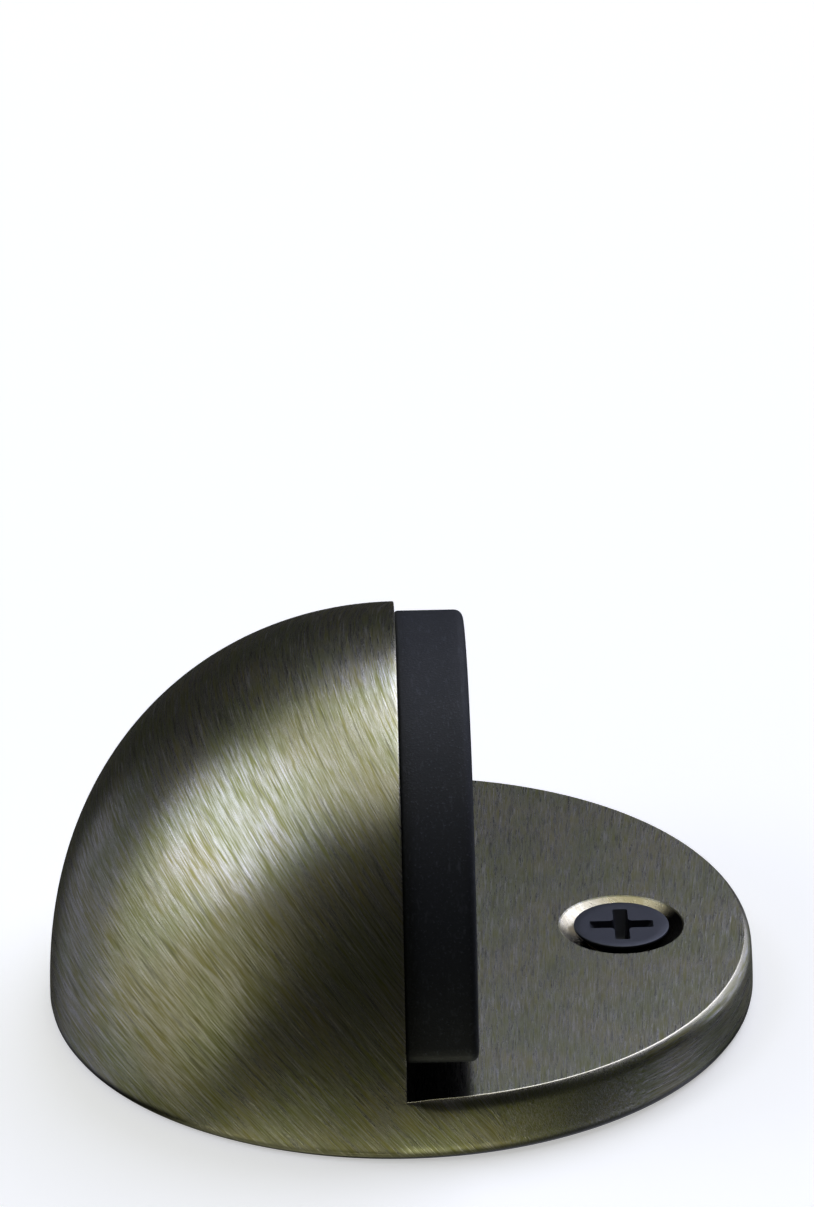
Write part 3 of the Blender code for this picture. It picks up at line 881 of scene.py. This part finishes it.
def brushed_brass():
    """Antique brass: a dark olive patina brushed back to brighter metal in fine parallel strokes."""
    g = Graph("antique_brass")

    # Brushing coordinate of each zone: across the strokes it changes fast, along them slowly
    bend = g.math("MULTIPLY", g.x, g.x)
    bend = g.math("MULTIPLY", bend, BRUSH_BEND_XX / (2 * BASE_RADIUS))
    bend_xz = g.math("MULTIPLY", g.math("MULTIPLY", g.x, g.z), BRUSH_BEND_XZ / BASE_RADIUS)
    across = g.vector("DOT_PRODUCT", g.place, BRUSH_NORMAL)
    across = g.math("ADD", g.math("ADD", across, bend), bend_xz)
    along = g.vector("DOT_PRODUCT", g.place, (-BRUSH_NORMAL[2], 0.0, BRUSH_NORMAL[0]))

    on_toe = g.span(g.x, 5.0, 15.0)
    low = g.span(g.z, TOE_TOP + 0.1, TOE_TOP + 1.2, 1.0, 0.0)
    facing_up = g.span(g.nz, 0.82, 0.95)
    top = g.math("MULTIPLY", g.math("MULTIPLY", facing_up, g.span(g.x, -0.1, 0.02)), low)
    side = g.math("MULTIPLY", g.math("MULTIPLY", on_toe, low), g.math("SUBTRACT", 1.0, top))

    ring = g.vector("LENGTH", g.join(g.x, g.y, 0.0))
    turn = g.math("ARCTAN2", g.y, g.x)
    dome_lines = g.join(across, g.math("MULTIPLY", g.y, 0.034), g.math("MULTIPLY", along, 0.034))
    lean = g.math("MULTIPLY", g.math("MULTIPLY", g.y, g.x), -0.006)
    top_lines = g.join(g.math("ADD", g.x, lean), g.math("MULTIPLY", g.y, 0.05), 3.7)
    side_across = g.math("ADD", g.z, g.math("MULTIPLY", ring, 0.5))
    side_lines = g.join(side_across, g.math("MULTIPLY", turn, 0.8), 9.1)
    lines = g.mix(top, g.mix(side, dome_lines, side_lines), top_lines)

    fine = g.noise(lines, scale=14.0, detail=4.0, roughness=0.7)
    broad = g.noise(lines, scale=4.0, detail=5.0, roughness=0.75)
    sparse = g.noise(lines, scale=9.0, detail=1.0, roughness=0.5)
    cloud = g.noise(g.place, scale=0.22, detail=3.0)
    strokes = g.math("ADD", g.math("MULTIPLY", fine, 0.6), g.math("MULTIPLY", broad, 0.4))
    bright = g.span(strokes, 0.40, 0.60)
    scored = g.span(sparse, 0.30, 0.42, 1.0, 0.0)
    glinting = g.span(sparse, 0.60, 0.72)

    clouded = g.span(cloud, 0.35, 0.65)
    patina = g.mix(clouded, (0.232, 0.240, 0.085), (0.290, 0.265, 0.100))
    metal = g.mix(clouded, (0.478, 0.478, 0.385), (0.520, 0.500, 0.450))
    colour = g.mix(bright, patina, metal)
    colour = g.mix(g.math("MULTIPLY", scored, 0.5), colour, (0.120, 0.118, 0.080))
    colour = g.mix(g.math("MULTIPLY", glinting, 0.5), colour, (0.700, 0.680, 0.690))

    # Edges rubbed bright: the arch's edge and the ridge of the toe
    arch = g.math("MULTIPLY", g.span(g.x, -0.2, -0.08), g.span(g.z, TOE_TOP - 0.3, TOE_TOP + 0.5, 0.0, 0.3))
    ridge = g.math("MULTIPLY", g.span(g.nz, 0.55, 0.75), g.span(g.nz, 0.985, 0.9995, 1.0, 0.0))
    outer = g.span(ring, RIDGE_RADIUS - 0.8, RIDGE_RADIUS - 0.4)
    ridge = g.math("MULTIPLY", g.math("MULTIPLY", ridge, low), outer)
    worn = g.math("MULTIPLY", g.math("MAXIMUM", arch, ridge), g.span(broad, 0.3, 0.6, 0.45, 1.0))
    colour = g.mix(worn, colour, (0.62, 0.58, 0.46))

    # Painted contact shadow: the rounding of the foot is darkened next to the floor
    foot = g.span(g.z, FOOT_EDGE * 0.8, FOOT_EDGE * 1.5, 0.985, 0.0)
    colour = g.mix(foot, colour, (0.022, 0.021, 0.013))

    # Painted shade on the strip of the toe under the pad and on the countersink, whose far side gets a
    # painted highlight
    flat_top = g.math("MULTIPLY", facing_up, low)
    painted_shade_under_pad = g.math("MULTIPLY", flat_top, g.span(g.x, PAD_FRONT - 0.9, PAD_FRONT, 0.97, 0.0))
    colour = g.mix(painted_shade_under_pad, colour, (0.012, 0.011, 0.008))
    from_hole = g.join(g.math("SUBTRACT", g.x, HOLE_X), g.y, 0.0)
    within = g.span(g.vector("LENGTH", from_hole), SINK_RADIUS - 0.04, SINK_RADIUS, 1.0, 0.0)
    sink_painted_light_and_shade = g.math("MULTIPLY", within, g.span(g.z, TOE_TOP - 0.06, TOE_TOP - 0.02, 1.0, 0.0))
    lit = g.span(g.vector("DOT_PRODUCT", from_hole, SINK_LIT_SIDE), 0.2, 1.7)
    # The bright colour here is a painted highlight on the countersink's lit side, and the dark one is painted
    # shade
    rubbing_and_painted_highlight = g.mix(broad, (0.62, 0.52, 0.30), (0.82, 0.78, 0.66))
    colour = g.mix(sink_painted_light_and_shade, colour, g.mix(lit, (0.010, 0.009, 0.008), rubbing_and_painted_highlight))

    rough = g.blend(bright, 0.37, 0.25)
    rough = g.blend(worn, rough, 0.26)
    g.set(
        Base_Color=colour,
        Metallic=1.0,
        Roughness=rough,
        Anisotropic=0.6,
        Normal=g.bump(strokes, 0.5, 0.00005),
    )
    slant_x = g.math("ADD", g.math("MULTIPLY", g.x, BRUSH_BEND_XX / BASE_RADIUS), BRUSH_NORMAL[0])
    slant_x = g.math("ADD", slant_x, g.math("MULTIPLY", g.z, BRUSH_BEND_XZ / BASE_RADIUS))
    slant_z = g.math("ADD", g.math("MULTIPLY", g.x, BRUSH_BEND_XZ / BASE_RADIUS), BRUSH_NORMAL[2])
    slant = g.join(slant_x, BRUSH_NORMAL[1], slant_z)
    g.set(Tangent=g.mix(top, g.mix(side, slant, (0.0, 0.0, 1.0)), (1.0, 0.0, 0.0)))
    return g.material


def rough_casting():
    """The casting where it isn't brushed: the inside of the hollow and of its holes."""
    g = Graph("rough_casting")
    grain = g.noise(g.place, scale=4.0, detail=5.0, roughness=0.7)
    stain = g.noise(g.place, scale=0.4, detail=3.0)
    colour = g.mix(stain, (0.17, 0.155, 0.11), (0.26, 0.235, 0.17))
    colour = g.mix(g.span(grain, 0.5, 0.75), colour, (0.34, 0.32, 0.25))
    g.set(Base_Color=colour, Metallic=1.0, Roughness=g.span(grain, 0.3, 0.7, 0.5, 0.7),
          Normal=g.bump(grain, 0.5, 0.00008))
    return g.material


def moulded_rubber():
    """Black rubber with a dull bloom, fine specks and faint scuffs."""
    g = Graph("black_rubber")
    speck = g.noise(g.place, scale=7.0, detail=3.0, roughness=0.6)
    bloom = g.noise(g.place, scale=0.35, detail=3.0)
    rubbing_and_painted_highlight = g.join(g.math("MULTIPLY", g.x, 2.5), g.math("MULTIPLY", g.y, 0.4), g.z)
    scuff = g.noise(rubbing_and_painted_highlight, scale=1.6, detail=4.0)
    colour = g.mix(bloom, (0.003, 0.004, 0.007), (0.005, 0.007, 0.011))
    colour = g.mix(g.span(speck, 0.57, 0.72, 0.0, 0.7), colour, (0.036, 0.042, 0.058))
    colour = g.mix(g.span(scuff, 0.56, 0.76, 0.0, 0.6), colour, (0.030, 0.034, 0.045))
    rough = g.blend(bloom, 0.58, 0.72)
    g.set(
        Base_Color=colour,
        Roughness=rough,
        Specular_IOR_Level=0.36,
        Normal=g.bump(speck, 0.5, 0.00006),
    )
    return g.material


def blackened_steel():
    """Black coated screw steel, satin, with lighter flecks in its grain."""
    g = Graph("black_screw")
    grain = g.noise(g.place, scale=9.0, detail=3.0)
    cloud = g.noise(g.place, scale=0.8, detail=2.0)
    colour = g.mix(cloud, (0.040, 0.043, 0.058), (0.058, 0.062, 0.080))
    colour = g.mix(g.span(grain, 0.6, 0.8, 0.0, 0.5), colour, (0.12, 0.125, 0.15))
    g.set(Base_Color=colour, Metallic=0.55, Roughness=g.span(grain, 0.3, 0.7, 0.36, 0.46),
          Normal=g.bump(grain, 0.2, 0.00003))
    return g.material


def moulded_nylon():
    g = Graph("grey_nylon")
    grain = g.noise(g.place, scale=6.0, detail=3.0)
    cloud = g.noise(g.place, scale=0.5, detail=2.0)
    colour = g.mix(cloud, (0.38, 0.385, 0.40), (0.45, 0.45, 0.455))
    g.set(
        Base_Color=colour,
        Roughness=g.span(grain, 0.3, 0.7, 0.5, 0.64),
        Normal=g.bump(grain, 0.3, 0.00004),
        Subsurface_Weight=0.1,
        Subsurface_Radius=(0.002, 0.002, 0.002),
    )
    return g.material


def ground_steel():
    g = Graph("bright_steel")
    drawn = g.join(g.math("MULTIPLY", g.x, 0.2), g.math("MULTIPLY", g.y, 0.2), g.z)
    rings = g.noise(drawn, scale=8.0, detail=3.0)
    colour = g.mix(rings, (0.56, 0.56, 0.57), (0.68, 0.68, 0.69))
    g.set(Base_Color=colour, Metallic=1.0, Roughness=g.span(rings, 0.3, 0.7, 0.22, 0.36),
          Normal=g.bump(rings, 0.25, 0.00003))
    return g.material


# ---------------------------------------------------------------- studio


def direction(azimuth, elevation):
    """Unit vector at an azimuth in degrees, from +Y towards +X, and an elevation above the floor."""
    turn, rise = math.radians(azimuth), math.radians(elevation)
    return Vector((math.sin(turn) * math.cos(rise), math.cos(turn) * math.cos(rise), math.sin(rise)))


def soft_light(name, azimuth, elevation, width, radiance, colour):
    """A round softbox aimed at the part. Its azimuth, elevation and apparent width are in degrees."""
    light = bpy.data.lights.new(name, "AREA")
    light.shape = "DISK"
    light.size = 2 * LIGHT_DISTANCE * math.tan(math.radians(width / 2))
    light.color = colour
    light.energy = radiance * math.pi * math.pi * (light.size / 2) ** 2
    lamp = new_piece(name, light)
    toward = direction(azimuth, elevation)
    lamp.location = toward * LIGHT_DISTANCE
    lamp.rotation_euler = toward.to_track_quat("Z", "Y").to_euler()
    lamp.visible_camera = False


def pale_material(name, colour, glow):
    """Even, matt and pale, with a little light of its own so that it stays pale under soft light."""
    material = bpy.data.materials.new(name)
    material.use_nodes = True
    shader = material.node_tree.nodes["Principled BSDF"]
    shader.inputs["Base Color"].default_value = (colour, colour, colour, 1.0)
    shader.inputs["Roughness"].default_value = 0.9
    shader.inputs["Specular IOR Level"].default_value = 0.1
    shader.inputs["Emission Color"].default_value = (1.0, 1.0, 1.0, 1.0)
    shader.inputs["Emission Strength"].default_value = glow
    return material


def stage_piece(build, name, material):
    """A piece of the studio that only the camera sees, and that takes shadows but casts none."""
    mesh = bpy.data.meshes.new(name)
    build.to_mesh(mesh)
    build.free()
    mesh.materials.append(material)
    piece = new_piece(name, mesh)
    piece.visible_glossy = False
    piece.visible_diffuse = False
    piece.visible_shadow = False
    return piece


def floor():
    build = bmesh.new()
    bmesh.ops.create_circle(build, cap_ends=True, radius=FLOOR_RADIUS, segments=96)
    ground = stage_piece(build, "floor", pale_material("floor", FLOOR_COLOUR, FLOOR_GLOW))
    ground.location.z = -FLOOR_DROP


def backdrop():
    build = bmesh.new()
    bmesh.ops.create_uvsphere(build, u_segments=64, v_segments=32, radius=FLOOR_RADIUS)
    stage_piece(build, "backdrop", pale_material("backdrop", 0.0, BACKDROP_GLOW))


def world():
    made = bpy.data.worlds.new("studio")
    bpy.context.scene.world = made
    made.use_nodes = True
    background = made.node_tree.nodes["Background"]
    background.inputs["Color"].default_value = (1.0, 1.0, 1.0, 1.0)
    background.inputs["Strength"].default_value = WORLD_GLOW


def camera():
    """The view: low over the floor, square to the upright face, with a long lens."""
    back = Vector((
        math.sin(CAMERA_AZIMUTH) * math.cos(CAMERA_ELEVATION),
        -math.cos(CAMERA_AZIMUTH) * math.cos(CAMERA_ELEVATION),
        math.sin(CAMERA_ELEVATION),
    ))
    right = (-back).cross(Vector((0.0, 0.0, 1.0))).normalized()
    up = right.cross(-back)
    level = Matrix((right, up, back)).transposed().to_4x4()
    data = bpy.data.cameras.new("camera")
    data.lens = CAMERA_LENS
    data.clip_start = CAMERA_CLIP
    made = new_piece("camera", data)
    place = Matrix.Translation(Vector(CAMERA_TARGET) + back * CAMERA_DISTANCE)
    made.matrix_world = place @ level @ Matrix.Rotation(CAMERA_ROLL, 4, "Z")
    bpy.context.scene.camera = made


def studio():
    """A pale floor, two main softboxes, weak fill from the sides and above, and light off the floor."""
    camera()
    floor()
    backdrop()
    world()
    soft_light("key_left", -90, 42, 45, 1.7, COOL)
    soft_light("back_right", 38, 48, 50, 2.5, COOL)
    soft_light("overhead", -20, 78, 55, 0.6, WARM)
    soft_light("fill_right", 50, 5, 45, 0.7, COOL)
    soft_light("fill_left", -100, 8, 60, 0.45, WARM)
    soft_light("edge_left", -60, -15, 50, 0.2, COOL)
    soft_light("bounce_left", -120, -60, 45, 2.4, WARM)
    soft_light("bounce_right", 75, -60, 60, 0.6, COOL)
    soft_light("bounce_front", 180, -60, 45, 1.8, WARM)
    bpy.context.scene.view_settings.view_transform = "Standard"


def main():
    studio()
    brass = brushed_brass()
    casting = rough_casting()
    rubber = moulded_rubber()
    cast_body(brass, casting)
    buffer_pad(rubber)
    for side in (-1, 1):
        buffer_lug(side, rubber)
    wood_screw(blackened_steel())
    floor_plug(moulded_nylon())
    locating_pin(ground_steel())


main()
